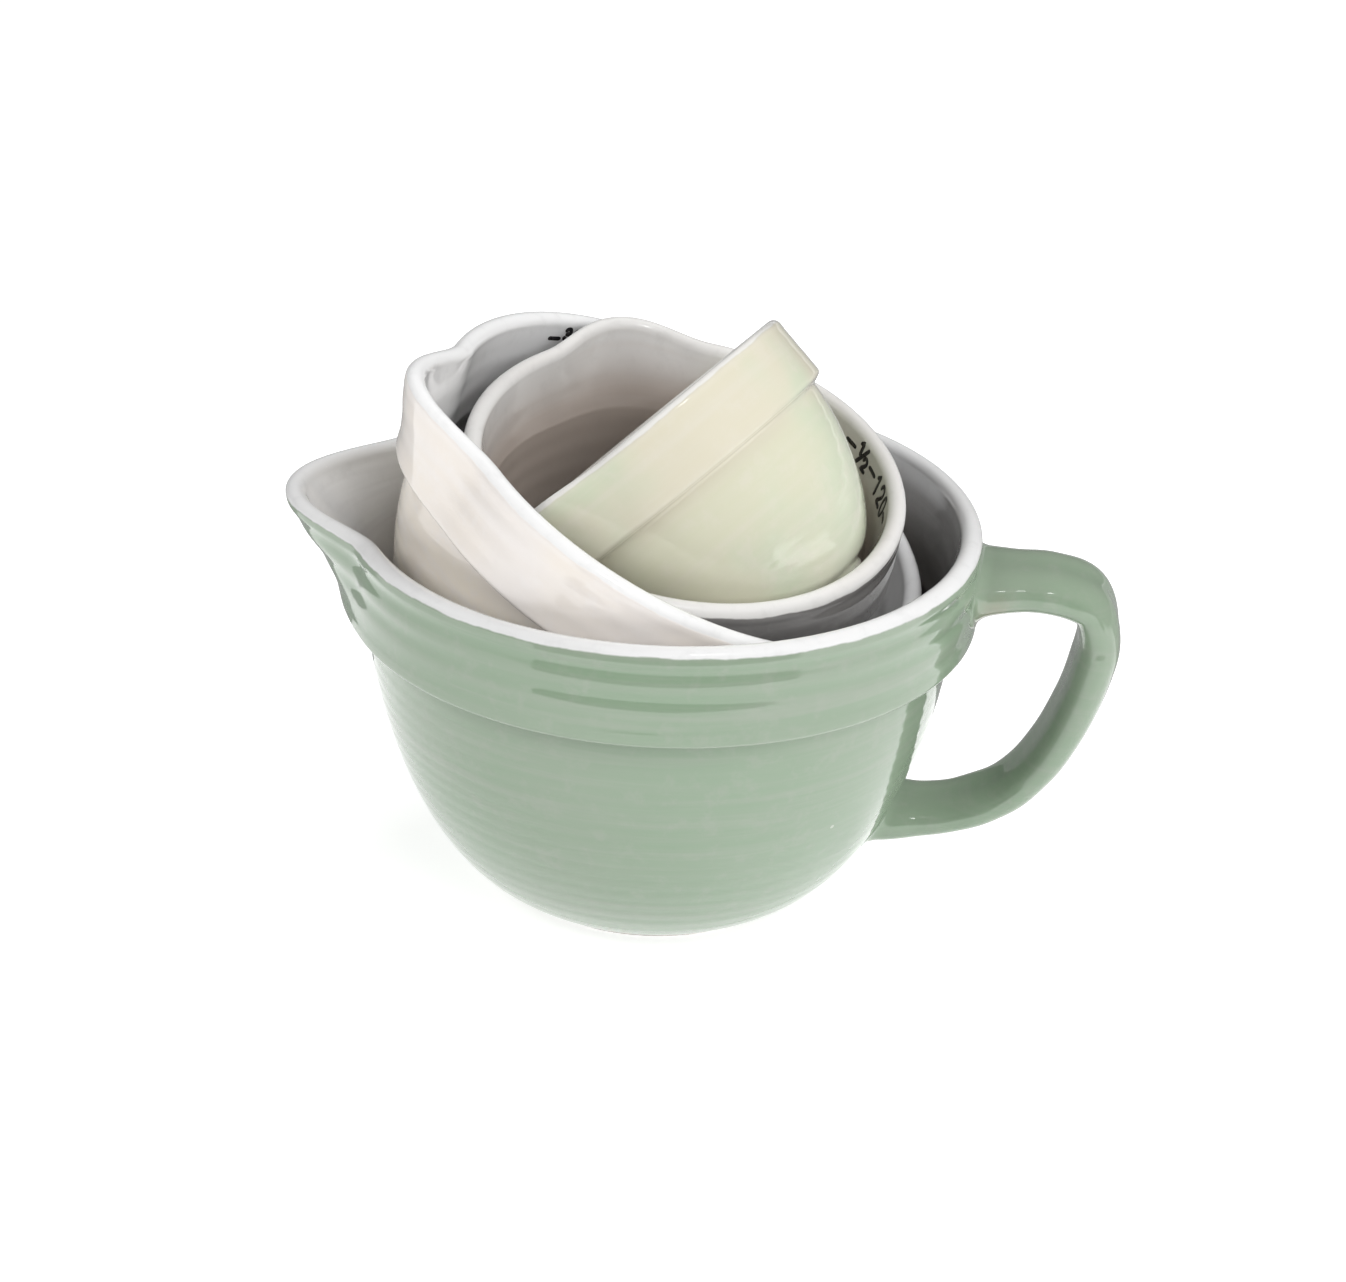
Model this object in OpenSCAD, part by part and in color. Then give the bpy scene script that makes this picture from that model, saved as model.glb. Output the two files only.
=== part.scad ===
// Nesting set of four stoneware measuring cups, shaped like small batter bowls.
// Millimetres, +Z up. The origin is the centre of the one-cup bowl's flat foot,
// its pouring spout points along -X and its handle along +X.

/* [One cup] */
// Outer radius of the one-cup rim
one_rim_r = 56; // [50:0.5:62]
// Height of the one-cup bowl
one_height = 71.6; // [66:0.2:76]
// Height of the one-cup collar, from its crease to the rim
one_collar_h = 17.6; // [14:0.2:20]
// Wall thickness of the one-cup bowl
one_wall = 3.8; // [3:0.1:4]
// How far the one-cup spout reaches past the rim
one_spout_reach = 10.6; // [6:0.2:13]

/* [Three-quarter cup] */
// Outer radius of the three-quarter-cup rim
three_quarter_rim_r = 47; // [46:0.1:47]
// Height of the three-quarter-cup bowl
three_quarter_height = 61; // [60:0.1:61]
// Height of the three-quarter-cup collar
three_quarter_collar_h = 15.3; // [13:0.1:17]
// Wall thickness of the three-quarter-cup bowl
three_quarter_wall = 3.6; // [3:0.1:3.8]
// How far the three-quarter-cup spout reaches past the rim
three_quarter_spout_reach = 8; // [5:0.2:9]

/* [Half cup] */
// Outer radius of the half-cup rim
half_rim_r = 38.9; // [38:0.1:39]
// Height of the half-cup bowl
half_height = 52; // [51:0.1:52]
// Height of the half-cup collar
half_collar_h = 13.8; // [12:0.1:15]
// Wall thickness of the half-cup bowl
half_wall = 3.3; // [2.8:0.1:3.4]
// How far the half-cup spout reaches past the rim
half_spout_reach = 4.5; // [3:0.1:5]

/* [Quarter cup] */
// Outer radius of the quarter-cup rim
quarter_rim_r = 30; // [29:0.1:30]
// Height of the quarter-cup bowl
quarter_height = 42.3; // [41.5:0.1:42.3]
// Height of the quarter-cup collar
quarter_collar_h = 12.5; // [11:0.1:14]
// Wall thickness of the quarter-cup bowl
quarter_wall = 3; // [2.6:0.1:3.2]
// How far the quarter-cup spout reaches past the rim
quarter_spout_reach = 4; // [3:0.1:4]

/* [Bowl family] */
// Foot radius as a share of the rim radius
foot_share = 0.5; // [0.45:0.01:0.52]
// Body radius just under the collar as a share of the rim radius
crease_share = 0.929; // [0.9:0.001:0.94]
// Floor thickness as a multiple of the wall thickness
floor_share = 1.46; // [1.2:0.01:1.6]
// Height of the straight-sided foot ring
foot_ring_h = 1.7; // [1.2:0.1:2.4]
// Rise of the spout's lip above the rim, as a share of the rim radius
spout_lift_share = 0.027; // [0.01:0.001:0.027]

/* [Handle] */
// Width of the strap handle
strap_width = 18; // [14:0.5:20]
// Thickness of the strap handle
strap_thickness = 7.8; // [6:0.2:9]
// Share by which the strap widens where it joins the bowl
strap_flare = 0.22; // [0:0.01:0.3]
// Share by which the strap tapers towards its lower end
strap_taper = 0.18; // [0:0.01:0.2]

/* [Fill marks] */
// Height of the numerals of the fill marks
numeral_h = 3.4; // [2:0.1:3.6]
// Width of a numeral's stroke
stroke_w = 0.7; // [0.4:0.1:0.8]
// Depth of the fired print
print_depth = 0.3; // [0.3:0.1:0.6]

/* [Nesting] */
// Lean of the three-quarter cup inside the one cup
three_quarter_lean = 25.9; // [25.7:0.1:26.1]
// Lean of the half cup inside the three-quarter cup
half_lean = 15.5; // [15.4:0.1:15.6]
// Lean of the quarter cup inside the half cup
quarter_lean = 46.3; // [46.2:0.1:46.4]

/* [Hidden] */

sage = [0.62, 0.70, 0.60];
cream = [0.88, 0.85, 0.82];
stone_grey = [0.52, 0.51, 0.50];
pale_green = [0.85, 0.85, 0.75];
ink = [0.08, 0.08, 0.08];

sides = 48;
belly_power = 1.72;
belly_root = 1.675;
body_steps = [0.03, 0.08, 0.16, 0.27, 0.41, 0.58, 0.78];
lip_angles = [0, 45, 90, 135, 180];
inner_steps = 5;
floor_angles = [0, 22, 44, 62, 78];
// How far the middle of the print sits inside the wall's nominal radius.
print_inset = 0.1;
// How much of a spout's reach is in its lip; the rest spreads down the collar.
lip_share = 0.62;
lip_decay = 0.19;
collar_decay = 0.79;
// The spout ends this far below the rim, as a share of the rim radius.
spout_depth = 0.78;

// The strap starts to taper this far along its curve, and is at its full taper
// after this much more.
taper_start = 0.45;
taper_length = 0.3;

// A cup is [rim_r, height, collar_h, wall, spout_reach, spout_half_angle].
one_cup = [one_rim_r, one_height, one_collar_h, one_wall, one_spout_reach, 28];
three_quarter_cup = [three_quarter_rim_r, three_quarter_height, three_quarter_collar_h,
    three_quarter_wall, three_quarter_spout_reach, 25];
half_cup = [half_rim_r, half_height, half_collar_h, half_wall, half_spout_reach, 25];
quarter_cup = [quarter_rim_r, quarter_height, quarter_collar_h, quarter_wall,
    quarter_spout_reach, 25];

function rim_r(cup) = cup[0];
function height(cup) = cup[1];
function crease_z(cup) = cup[1] - cup[2];
function wall(cup) = cup[3];
function reach(cup) = cup[4];
function spout_half_angle(cup) = cup[5];
function foot_r(cup) = foot_share * rim_r(cup);
function crease_r(cup) = crease_share * rim_r(cup);
function floor_z(cup) = floor_share * wall(cup);

// Outer radius of the body below the collar, at height z.
function body_r(cup, z) =
    let (t = max(0, min(1, (z - foot_ring_h) / (crease_z(cup) - foot_ring_h))))
    foot_r(cup) + (crease_r(cup) - foot_r(cup))
        * pow(1 - pow(1 - t, belly_power), 1 / belly_root);

// Inner radius at height z: one wall inside the body, flaring to the rim in the collar.
function hollow_r(cup, z) =
    let (u = max(0, min(1, (z - crease_z(cup)) / (height(cup) - crease_z(cup)))))
    body_r(cup, z) - wall(cup) + (rim_r(cup) - crease_r(cup)) * pow(u, 0.8);

function outer_profile(cup) = concat(
    [[foot_r(cup) - 1, 0], [foot_r(cup), 0.8], [foot_r(cup), foot_ring_h]],
    [for (t = body_steps)
        let (z = foot_ring_h + (crease_z(cup) - foot_ring_h) * t)
        [body_r(cup, z), z]],
    [[crease_r(cup), crease_z(cup) - 0.4],
        [rim_r(cup) - 0.6, crease_z(cup) + 0.2],
        [rim_r(cup), crease_z(cup) + 1.2],
        [0.988 * rim_r(cup), (crease_z(cup) + height(cup)) / 2]]
);

function lip_profile(cup) = [for (a = lip_angles)
    [rim_r(cup) - wall(cup) / 2 * (1 - cos(a)), height(cup) - wall(cup) / 2 * (1 - sin(a))]];

// The hollow's wall, then a rounded bottom that closes on the floor.
function inner_profile(cup) =
    let (
        top = height(cup) - wall(cup) / 2,
        bend_h = 0.22 * height(cup),
        bend_z = floor_z(cup) + bend_h,
        bend_r = hollow_r(cup, bend_z)
    )
    concat(
        [for (i = [1 : inner_steps - 1])
            let (z = top + (bend_z - top) * i / inner_steps)
            [hollow_r(cup, z), z]],
        [for (a = floor_angles)
            [bend_r * pow(cos(a), 0.9), bend_z - bend_h * pow(sin(a), 1.25)]]
    );

// Share of the spout's reach at height z: strong at the lip, faint down the collar.
function spout_share(cup, z) =
    let (
        depth = (height(cup) - z) / rim_r(cup),
        in_lip = exp(-pow(depth / lip_decay, 2)),
        in_collar = 1 - pow(depth / collar_decay, 2)
    )
    depth > spout_depth ? 0
        : min(1, lip_share * in_lip + (1 - lip_share) * in_collar);

// Share of the spout's reach around the bowl, with the spout at 180 degrees.
function spout_bump(cup, angle) =
    let (off = abs(angle - 180))
    off < spout_half_angle(cup) ? (1 + cos(180 * off / spout_half_angle(cup))) / 2 : 0;

function bowl_ring(cup, p) = [for (i = [0 : sides - 1])
    let (
        angle = 360 * i / sides,
        share = spout_share(cup, p[1]) * spout_bump(cup, angle),
        r = p[0] + reach(cup) * share * min(1, p[0] / (0.6 * rim_r(cup))),
        lift = spout_lift_share * rim_r(cup) * spout_bump(cup, angle)
            * pow(spout_share(cup, p[1]), 2)
    )
    [r * cos(angle), r * sin(angle), p[1] + lift]];

// Faces of a skin over rings of n points each, with a centre point at either end.
function ring_faces(n, rings) = concat(
    [for (i = [0 : n - 1]) [0, 1 + i, 1 + (i + 1) % n]],
    [for (k = [0 : rings - 2], i = [0 : n - 1])
        let (a = 1 + k * n + i, b = 1 + k * n + (i + 1) % n)
        each [[a, a + n, b + n], [a, b + n, b]]],
    [for (i = [0 : n - 1])
        let (last = 1 + (rings - 1) * n)
        [rings * n + 1, last + (i + 1) % n, last + i]]
);

module bowl(cup) {
    profile = concat(outer_profile(cup), lip_profile(cup), inner_profile(cup));
    points = concat(
        [[0, 0, 0]],
        [for (p = profile) each bowl_ring(cup, p)],
        [[0, 0, floor_z(cup)]]
    );
    polyhedron(points, ring_faces(sides, len(profile)));
}

// Centre line of the strap in the XZ plane, from the collar down to the body.
strap_line = [
    [53.8, 61.8], [61, 62.5], [68.5, 62.6], [75.2, 60.4], [77.6, 54.2], [76.9, 47.3],
    [74.6, 38.5], [70.4, 28.8], [64.5, 21.2], [56.4, 16.7], [48, 14.8], [39.1, 14.2]
];
strap_sides = 16;
steps_per_span = 3;
strap_fullness = 0.72;
root_slant = -38;

// Point of a Catmull-Rom curve on span k at u from 0 to 1.
function curve_at(line, k, u) =
    let (
        p0 = line[max(0, k - 1)],
        p1 = line[k],
        p2 = line[k + 1],
        p3 = line[min(len(line) - 1, k + 2)]
    )
    0.5 * (2 * p1 + (p2 - p0) * u + (2 * p0 - 5 * p1 + 4 * p2 - p3) * u * u
        + (3 * p1 - p0 - 3 * p2 + p3) * u * u * u);

function curve_points(line) = concat(
    [for (k = [0 : len(line) - 2], s = [0 : steps_per_span - 1])
        curve_at(line, k, s / steps_per_span)],
    [line[len(line) - 1]]
);

function signed_pow(x, power) = sign(x) * pow(abs(x), power);

// One rounded-rectangle ring of the strap; it widens at both roots and
// leans with the bowl's wall at the lower one.
function strap_ring(points, i) =
    let (
        last = len(points) - 1,
        d = points[min(last, i + 1)] - points[max(0, i - 1)],
        near_top = exp(-pow(i / 2, 2)),
        near_bottom = exp(-pow((last - i) / 2.5, 2)),
        lean = atan2(d[1], d[0]) + 90 + root_slant * near_bottom,
        flare = 1 + strap_flare * (near_top + near_bottom),
        taper = 1 - strap_taper * min(1, max(0, (i / last - taper_start) / taper_length)),
        half_t = taper * strap_thickness / 2 * (1 + 0.5 * near_bottom + 0.25 * near_top),
        half_w = taper * strap_width / 2 * flare
    )
    [for (j = [0 : strap_sides - 1])
        let (
            a = 360 * j / strap_sides,
            t = half_t * signed_pow(cos(a), strap_fullness),
            w = half_w * signed_pow(sin(a), strap_fullness)
        )
        [points[i][0] + t * cos(lean), w, points[i][1] + t * sin(lean)]];

module strap_handle() {
    line = curve_points(strap_line);
    first = line[0];
    end = line[len(line) - 1];
    points = concat(
        [[first[0], 0, first[1]]],
        [for (i = [0 : len(line) - 1]) each strap_ring(line, i)],
        [[end[0], 0, end[1]]]
    );
    polyhedron(points, ring_faces(strap_sides, len(line)));
}

// Strokes of the block numerals, each [x1, y1, x2, y2] in a cell 0.6 wide and 1 high.
function strokes(character) =
    character == "1" ? [[0.3, 0, 0.3, 1]]
    : character == "2" ? [[0, 1, 0.6, 1], [0.6, 1, 0.6, 0.5], [0.6, 0.5, 0, 0.5],
        [0, 0.5, 0, 0], [0, 0, 0.6, 0]]
    : character == "3" ? [[0, 1, 0.6, 1], [0.6, 1, 0.6, 0], [0.1, 0.5, 0.6, 0.5],
        [0, 0, 0.6, 0]]
    : character == "4" ? [[0, 1, 0, 0.45], [0, 0.45, 0.6, 0.45], [0.6, 1, 0.6, 0]]
    : character == "6" ? [[0.6, 1, 0, 1], [0, 1, 0, 0], [0, 0, 0.6, 0], [0.6, 0, 0.6, 0.5],
        [0.6, 0.5, 0, 0.5]]
    : character == "8" ? [[0, 0, 0, 1], [0, 1, 0.6, 1], [0.6, 1, 0.6, 0], [0.6, 0, 0, 0],
        [0, 0.5, 0.6, 0.5]]
    : character == "0" ? [[0, 0, 0, 1], [0, 1, 0.6, 1], [0.6, 1, 0.6, 0], [0.6, 0, 0, 0]]
    : character == "/" ? [[0, 0, 0.6, 1]]
    : [[-0.1, 0.5, 0.8, 0.5]];

// A fill mark printed round the inside of a cup, centred at the angle middle,
// to be read from the middle of the cup.
module fill_mark(cup, label, mark_z, middle) {
    pitch = numeral_h * 0.95;
    wall_r = hollow_r(cup, mark_z);
    wall_tilt = atan2(hollow_r(cup, mark_z + 1) - hollow_r(cup, mark_z - 1), 2);
    for (k = [0 : len(label) - 1], s = strokes(label[k])) {
        along = (k - (len(label) - 1) / 2) * pitch + ((s[0] + s[2]) / 2 - 0.3) * numeral_h;
        up = ((s[1] + s[3]) / 2 - 0.5) * numeral_h;
        run = norm([s[2] - s[0], s[3] - s[1]]) * numeral_h + stroke_w;
        rotate([0, 0, middle - along / wall_r * 180 / PI])
            translate([wall_r - print_inset, 0, mark_z])
                rotate([0, wall_tilt, 0])
                    translate([0, 0, up])
                        rotate([-atan2(s[3] - s[1], s[2] - s[0]), 0, 0])
                            cube([print_depth, run, stroke_w], center = true);
    }
}

// Leans a child that stands on its foot: its foot centre goes to position, its
// axis leans by the angle lean towards the direction toward, after a turn of spin.
module nested(position, lean, toward, spin) {
    translate(position)
        rotate(lean, [-sin(toward), cos(toward), 0])
            rotate([0, 0, spin])
                children();
}

module in_one_cup() {
    nested([-21.8, 2.1, 24], three_quarter_lean, -8.4, 18.5) children();
}

module in_three_quarter_cup() {
    nested([-3.9, 6.1, 32.2], half_lean, -55.6, 294.4) children();
}

module in_half_cup() {
    nested([24.3, -12.6, 58.3], quarter_lean, 161.8, 61.5) children();
}

module one_cup_bowl() {
    color(sage) bowl(one_cup);
}

module one_cup_handle() {
    color(sage) strap_handle();
}

module one_cup_fill_mark() {
    color(ink) fill_mark(one_cup, "-1-240-", 56, 90);
}

module three_quarter_cup_bowl() {
    color(cream) in_one_cup() bowl(three_quarter_cup);
}

module three_quarter_cup_fill_mark() {
    color(ink) in_one_cup() fill_mark(three_quarter_cup, "-3/4-180-", 57, 103);
}

module half_cup_bowl() {
    color(stone_grey) in_three_quarter_cup() bowl(half_cup);
}

module half_cup_fill_mark() {
    color(ink) in_three_quarter_cup() fill_mark(half_cup, "-1/2-120-", 48.5, 85);
}

module quarter_cup_bowl() {
    color(pale_green) in_half_cup() bowl(quarter_cup);
}

module quarter_cup_fill_mark() {
    color(ink) in_half_cup() fill_mark(quarter_cup, "-1/4-60-", 39.3, 90);
}

one_cup_bowl();
one_cup_handle();
one_cup_fill_mark();
three_quarter_cup_bowl();
three_quarter_cup_fill_mark();
half_cup_bowl();
half_cup_fill_mark();
quarter_cup_bowl();
quarter_cup_fill_mark();
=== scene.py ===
"""Looks of the nesting measuring cups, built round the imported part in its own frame.

Every bowl is turned from one profile at high resolution, with throwing rings, collar
ridges, a pulled spout and an uneven glaze edge. All measures are millimetres up to the
point where a mesh is written, which is in metres.
"""

import math

import bpy
import numpy as np
from mathutils import Matrix, Vector


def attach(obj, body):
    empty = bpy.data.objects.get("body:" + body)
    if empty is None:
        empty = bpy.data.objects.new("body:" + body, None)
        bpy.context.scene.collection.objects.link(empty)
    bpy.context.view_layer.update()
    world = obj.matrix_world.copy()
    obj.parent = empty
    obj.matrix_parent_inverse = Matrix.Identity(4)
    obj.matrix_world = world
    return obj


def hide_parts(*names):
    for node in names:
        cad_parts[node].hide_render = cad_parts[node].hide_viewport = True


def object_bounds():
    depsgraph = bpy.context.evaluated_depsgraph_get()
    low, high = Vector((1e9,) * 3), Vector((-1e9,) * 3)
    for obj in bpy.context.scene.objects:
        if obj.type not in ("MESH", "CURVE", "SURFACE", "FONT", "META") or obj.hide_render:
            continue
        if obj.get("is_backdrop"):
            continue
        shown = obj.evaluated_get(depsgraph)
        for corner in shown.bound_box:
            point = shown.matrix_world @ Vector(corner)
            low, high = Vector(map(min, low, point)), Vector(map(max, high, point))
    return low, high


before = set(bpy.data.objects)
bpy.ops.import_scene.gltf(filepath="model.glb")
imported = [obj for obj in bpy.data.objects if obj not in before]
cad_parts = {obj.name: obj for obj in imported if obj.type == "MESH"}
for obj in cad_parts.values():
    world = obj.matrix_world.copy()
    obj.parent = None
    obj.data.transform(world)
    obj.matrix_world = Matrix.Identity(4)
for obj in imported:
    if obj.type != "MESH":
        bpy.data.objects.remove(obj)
cad_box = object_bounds()

MM = 0.001
TURN = 2 * math.pi


# ---------------------------------------------------------------- shape of a bowl

# Millimetres and degrees. reach, lift and half are the spout's reach, rise and half
# angle, lip_share is the part of its reach that is in the lip, and white_down is how far
# the inner glaze comes down from the rim. position, lean, toward and spin nest the cup.
CUPS = {
    "one_cup": dict(
        rim=56.0, height=71.6, collar=17.6, wall=3.8, reach=11.8, half=28.0, lift=0.2,
        lip_share=0.97, sides=336, seed=3, ring_pitch=2.9, ring_depth=0.045, ridge_depth=0.27,
        white_down=1.55,
        position=(0.0, 0.0, 0.0), lean=0.0, toward=0.0, spin=0.0,
    ),
    "three_quarter_cup": dict(
        rim=47.0, height=61.0, collar=15.3, wall=3.6, reach=8.0, half=25.0, lift=1.269,
        lip_share=0.62,
        sides=300, seed=11, ring_pitch=3.4, ring_depth=0.03, ridge_depth=0.05,
        white_down=1.35,
        position=(-21.8, 2.1, 24.0), lean=25.9, toward=-8.4, spin=18.5,
    ),
    "half_cup": dict(
        rim=38.9, height=52.0, collar=13.8, wall=3.3, reach=4.5, half=25.0, lift=1.05,
        lip_share=0.62,
        sides=280, seed=23, ring_pitch=3.1, ring_depth=0.03, ridge_depth=0.05,
        white_down=1.5,
        position=(-3.9, 6.1, 32.2), lean=15.5, toward=-55.6, spin=294.4,
    ),
    "quarter_cup": dict(
        rim=30.0, height=42.3, collar=12.5, wall=3.0, reach=4.0, half=25.0, lift=0.81,
        lip_share=0.62,
        sides=260, seed=37, ring_pitch=3.0, ring_depth=0.04, ridge_depth=0.03,
        white_down=0.75,
        position=(24.3, -12.6, 58.3), lean=46.3, toward=161.8, spin=61.5,
    ),
}

FOOT_SHARE = 0.5
CREASE_SHARE = 0.929
FLOOR_SHARE = 1.46
FOOT_RING = 1.7
BELLY_POWER = 1.72
LIP_LEAN = 0.0055
BELLY_ROOT = 1.675
# How fast a spout's reach fades with depth below the rim, in rim radii.
LIP_DECAY, COLLAR_DECAY = 0.19, 0.79
# Radii of the rounded edges under the foot and at the bottom of the collar.
FOOT_ROUND, COLLAR_ROUND = 0.75, 0.95
# The inside starts to round into the floor at this share of the height above it.
BEND_SHARE = 0.22


def smooth(t):
    t = np.clip(t, 0.0, 1.0)
    return t * t * (3 - 2 * t)


def crease_z(c):
    return c["height"] - c["collar"]


def body_r(c, z):
    foot, crease, top = FOOT_SHARE * c["rim"], CREASE_SHARE * c["rim"], crease_z(c)
    t = np.clip((z - FOOT_RING) / (top - FOOT_RING), 0, 1)
    return foot + (crease - foot) * (1 - (1 - t) ** BELLY_POWER) ** (1 / BELLY_ROOT)


def hollow_r(c, z):
    u = np.clip((z - crease_z(c)) / c["collar"], 0, 1)
    return body_r(c, z) - c["wall"] + c["rim"] * (1 - CREASE_SHARE) * u**0.8


def collar_r(c, z):
    """Outer radius of the collar: a faint waist, leaning in a little under the lip."""
    low, high = crease_z(c) + 0.2, c["height"] - c["wall"] / 2
    u = np.clip((z - low) / (high - low), 0, 1)
    waist = 0.003 * np.sin(math.pi * u) ** 1.3
    return c["rim"] * (1 - waist - LIP_LEAN * smooth((u - 0.35) / 0.65)) - 0.05


def lip_r(c):
    return c["rim"] * (1 - LIP_LEAN) - 0.05


def ring_wave(phase):
    """A throwing ring: a broad rounded ridge with a narrower groove."""
    s = 0.5 + 0.5 * np.sin(phase)
    return s**0.62 - 0.56


def outer_rings(c, z, angle):
    """Radial displacement of the outside at height z and angle, in millimetres."""
    rng = np.random.default_rng(c["seed"])
    shifts = rng.uniform(0, TURN, 6)
    top = crease_z(c)
    drift = 0.55 * np.sin(z / 7.3 + shifts[0]) + 0.35 * np.sin(z / 3.1 + shifts[1])
    phase = TURN * z / c["ring_pitch"] + drift + 0.5 * np.sin(angle + shifts[2])
    patch = 0.75 + 0.35 * np.sin(2 * angle + shifts[3] + z / 16)
    body = smooth((z - 3) / 5) * (1 - smooth((z - top + 3.2) / 2.2))
    collar = smooth((z - top - 1.6) / 1.5) * (1 - smooth((z - c["height"] + 2.9) / 1.2))
    # The collar's own ridges are broad, and flatten out towards the crease.
    below = (c["height"] - z) / c["collar"]
    wobble = 0.35 * np.sin(3 * angle + shifts[4]) + 0.25 * np.sin(7 * angle + shifts[5])
    ridge = np.sin(TURN * 3.65 * below - 0.65 + 0.5 * wobble)
    fade = 0.2 + 0.8 * np.exp(-((below / 0.42) ** 2))
    fine = ring_wave(phase) * patch * c["ring_depth"]
    return fine * (body + 0.45 * collar) + c["ridge_depth"] * ridge * collar * fade


def inner_rings(c, z, angle):
    rng = np.random.default_rng(c["seed"] + 1)
    shifts = rng.uniform(0, TURN, 4)
    phase = TURN * z / 4.4 + 0.8 * np.sin(z / 6 + shifts[0]) + 0.7 * np.sin(angle + shifts[1])
    return 0.035 * np.sin(phase) * smooth((c["height"] - z - 3) / 4) * smooth((z - 8) / 6)


def inner_wall_r(c, z):
    """Radius of the inside wall, eased into the rounded lip."""
    high = c["height"] - c["wall"] / 2
    start_gap = lip_r(c) - c["wall"] - hollow_r(c, high)
    return hollow_r(c, z) + start_gap * (1 - smooth((high - z) / 4.0))


def profile(c):
    """Rows of (r, z, skin) from the foot's centre, over the lip, to the floor's centre.

    The skin is 0 outside, 1 on the lip and 2 inside.
    """
    rim, height, wall, top = c["rim"], c["height"], c["wall"], crease_z(c)
    foot = FOOT_SHARE * rim
    rows = []
    for s in (*np.linspace(0.12, 0.9, 9), 0.93, 0.955, 0.972):
        rows.append((foot * s, 0.0, 0))
    for a in np.linspace(0, 90, 6)[1:]:
        a = math.radians(a)
        rows.append(
            (foot - FOOT_ROUND + FOOT_ROUND * math.sin(a), FOOT_ROUND - FOOT_ROUND * math.cos(a), 0)
        )
    for z in (1.0, 1.25, 1.5):
        rows.append((foot + 0.02 * z, z, 0))
    t = np.linspace(0.0, 1.0, int(c["height"] * 2.6))
    z_body = FOOT_RING + (top - 0.9 - FOOT_RING) * (0.35 * t**2 + 0.65 * t)
    for z in z_body[1:]:
        rows.append((float(body_r(c, z)), float(z), 0))
    # The crease: a small hollow radius, then the collar's rounded lower edge.
    crease = CREASE_SHARE * rim
    for a in (0.25, 0.5, 0.72, 0.88, 1.0):
        rows.append((crease + 0.5 * a**3, top - 0.9 + 0.62 * a, 0))
    step = rim - crease
    for a in np.linspace(0, 1, 7)[1:-1]:
        rows.append((crease + 0.5 + (step - 1.35) * a, top - 0.28 + 0.3 * a, 0))
    for a in np.linspace(-80, 0, 8):
        a = math.radians(a)
        edge = float(collar_r(c, top + 1.3))
        r = edge - COLLAR_ROUND + COLLAR_ROUND * math.cos(a)
        rows.append((r, top + 1.02 + COLLAR_ROUND * math.sin(a), 0))
    low, high = top + 1.2, height - wall / 2
    for z in np.linspace(low, high, int(c["collar"] * 4.2))[1:-1]:
        rows.append((float(collar_r(c, z)), float(z), 0))
    lip = lip_r(c)
    for a in np.linspace(0, 180, 19):
        a = math.radians(a)
        rows.append(
            (lip - wall / 2 * (1 - math.cos(a)), height - wall / 2 * (1 - math.sin(a)), 1)
        )
    bend = BEND_SHARE * height
    floor = FLOOR_SHARE * wall
    bend_z = floor + bend
    for z in np.linspace(high, bend_z, int(c["height"] * 1.5))[1:]:
        rows.append((float(inner_wall_r(c, z)), float(z), 2))
    bend_r = float(hollow_r(c, bend_z))
    for a in np.linspace(0, 90, 40)[1:-1]:
        a = math.radians(a)
        rows.append(
            (bend_r * math.cos(a) ** 0.9, bend_z - bend * math.sin(a) ** 1.25, 2)
        )
    return rows


def spout_share(c, z):
    depth = (c["height"] - z) / c["rim"]
    in_lip = np.exp(-((depth / LIP_DECAY) ** 2))
    in_collar = np.maximum(0.0, 1 - (depth / COLLAR_DECAY) ** 2)
    return np.minimum(1.0, c["lip_share"] * in_lip + (1 - c["lip_share"]) * in_collar)


def spout_bump(c, angle):
    off = np.abs((np.degrees(angle) % 360) - 180) / c["half"]
    return np.where(off < 1, (1 + np.cos(math.pi * off)) / 2, 0.0)


def surface_point(c, r, z, angle, skin):
    """The bowl's surface with its spout and rings; arrays in, arrays out."""
    if skin == 2:
        r = r - inner_rings(c, z, angle)
    elif skin == 0:
        r = r + outer_rings(c, z, angle)
    share = spout_share(c, z) * spout_bump(c, angle)
    reach = c["reach"] * share * np.minimum(1, r / (0.6 * c["rim"]))
    lift = c["lift"] * spout_bump(c, angle) * spout_share(c, z) ** 2
    seed = c["seed"]
    sway = 0.06 * np.sin(2 * angle + seed) + 0.035 * np.sin(3 * angle + 2 * seed)
    high = smooth((z - 0.5 * c["height"]) / (0.5 * c["height"]))
    radius = r + reach + sway * high
    return radius * np.cos(angle), radius * np.sin(angle), z + lift + 0.8 * sway * high


def closed_skin(name, rings, first, last, attributes, place):
    """A closed mesh over rings of equal length, with a point at either end, in metres."""
    n = rings[0].shape[0]
    points = np.vstack([[first]] + rings + [[last]]) * MM
    k = len(rings)
    i = np.arange(n)
    nxt = (i + 1) % n
    quads = []
    for j in range(k - 1):
        a, b = 1 + j * n + i, 1 + j * n + nxt
        quads.append(np.stack([a, b, b + n, a + n], 1))
    quads = np.vstack(quads)
    head = np.stack([np.zeros(n, int), 1 + nxt, 1 + i], 1)
    tail_start = 1 + (k - 1) * n
    tail = np.stack([np.full(n, k * n + 1), tail_start + i, tail_start + nxt], 1)
    mesh = bpy.data.meshes.new(name)
    faces = [tuple(int(v) for v in f) for f in head]
    faces += [tuple(int(v) for v in f) for f in quads]
    faces += [tuple(int(v) for v in f) for f in tail]
    mesh.from_pydata([tuple(p) for p in points], [], faces)
    for key, values in attributes.items():
        layer = mesh.attributes.new(key, "FLOAT", "POINT")
        layer.data.foreach_set("value", np.asarray(values, np.float32))
    return finished(name, mesh, place)


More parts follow.
